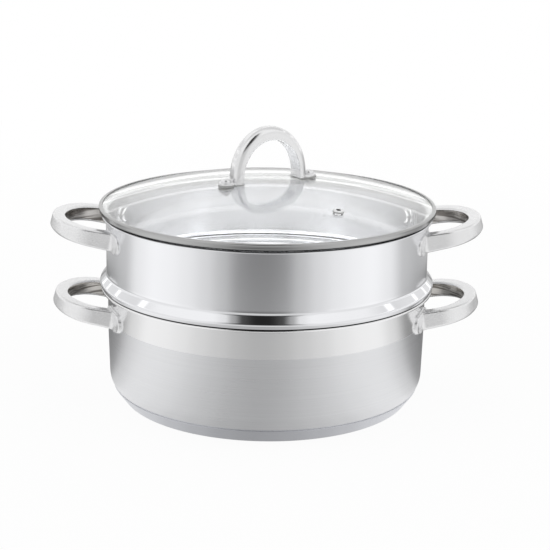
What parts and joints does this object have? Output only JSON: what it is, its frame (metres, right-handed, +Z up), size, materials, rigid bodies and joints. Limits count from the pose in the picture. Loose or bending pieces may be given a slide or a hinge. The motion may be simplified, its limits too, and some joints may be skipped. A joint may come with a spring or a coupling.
{
  "type": "steamer pot",
  "caption": "Wide steel pot with a steamer tier stacked in its lip and a domed glass lid, with riveted loop handles and an arched lid handle.",
  "frame": {"origin": "centre of the flat underside of the pot's base", "axes": "+Z up through the lid, X through the side handles, -Y the front seen in the picture"},
  "size_m": [0.3814, 0.296, 0.2433],
  "materials": {
    "pot_steel": "fine satin with a polished band at the top",
    "tier_steel": "smooth polish",
    "cap_steel": "dull pressed steel",
    "core_metal": "plain, sealed in",
    "handle_steel": "polished cast steel",
    "rivet_steel": "smooth",
    "clear_glass": "clear tempered glass",
    "band_steel": "polished rolled band",
    "silicone": "soft dark grey silicone",
    "lid_handle_steel": "polished bar",
    "screw_steel": "smooth bright steel"
  },
  "bodies": {
    "pot": {"pot_body": "pot_steel", "base_core": "core_metal", "base_cap": "cap_steel", "pot_handle_left": "handle_steel", "pot_handle_right": "handle_steel", "pot_rivets_left": "rivet_steel", "pot_rivets_right": "rivet_steel"},
    "steamer": {"steamer_body": "tier_steel", "steamer_handle_left": "handle_steel", "steamer_handle_right": "handle_steel", "steamer_rivets_left": "rivet_steel", "steamer_rivets_right": "rivet_steel"},
    "lid": {"lid_glass": "clear_glass", "lid_band": "band_steel", "lid_seal": "silicone", "lid_handle": "lid_handle_steel", "lid_handle_pads": "silicone", "lid_handle_screws": "screw_steel", "lid_handle_under_pads": "silicone", "lid_handle_washers": "screw_steel", "lid_handle_nuts": "screw_steel", "vent_eyelet": "screw_steel", "vent_gasket": "silicone", "vent_washer": "screw_steel"}
  },
  "joints": [
    {"name": "steamer_lift", "type": "slide", "parent": "pot", "child": "steamer", "axis": [0, 0, 1], "range_m": [0, 0.14]},
    {"name": "lid_lift", "type": "slide", "parent": "steamer", "child": "lid", "axis": [0, 0, 1], "range_m": [0, 0.12]}
  ]
}
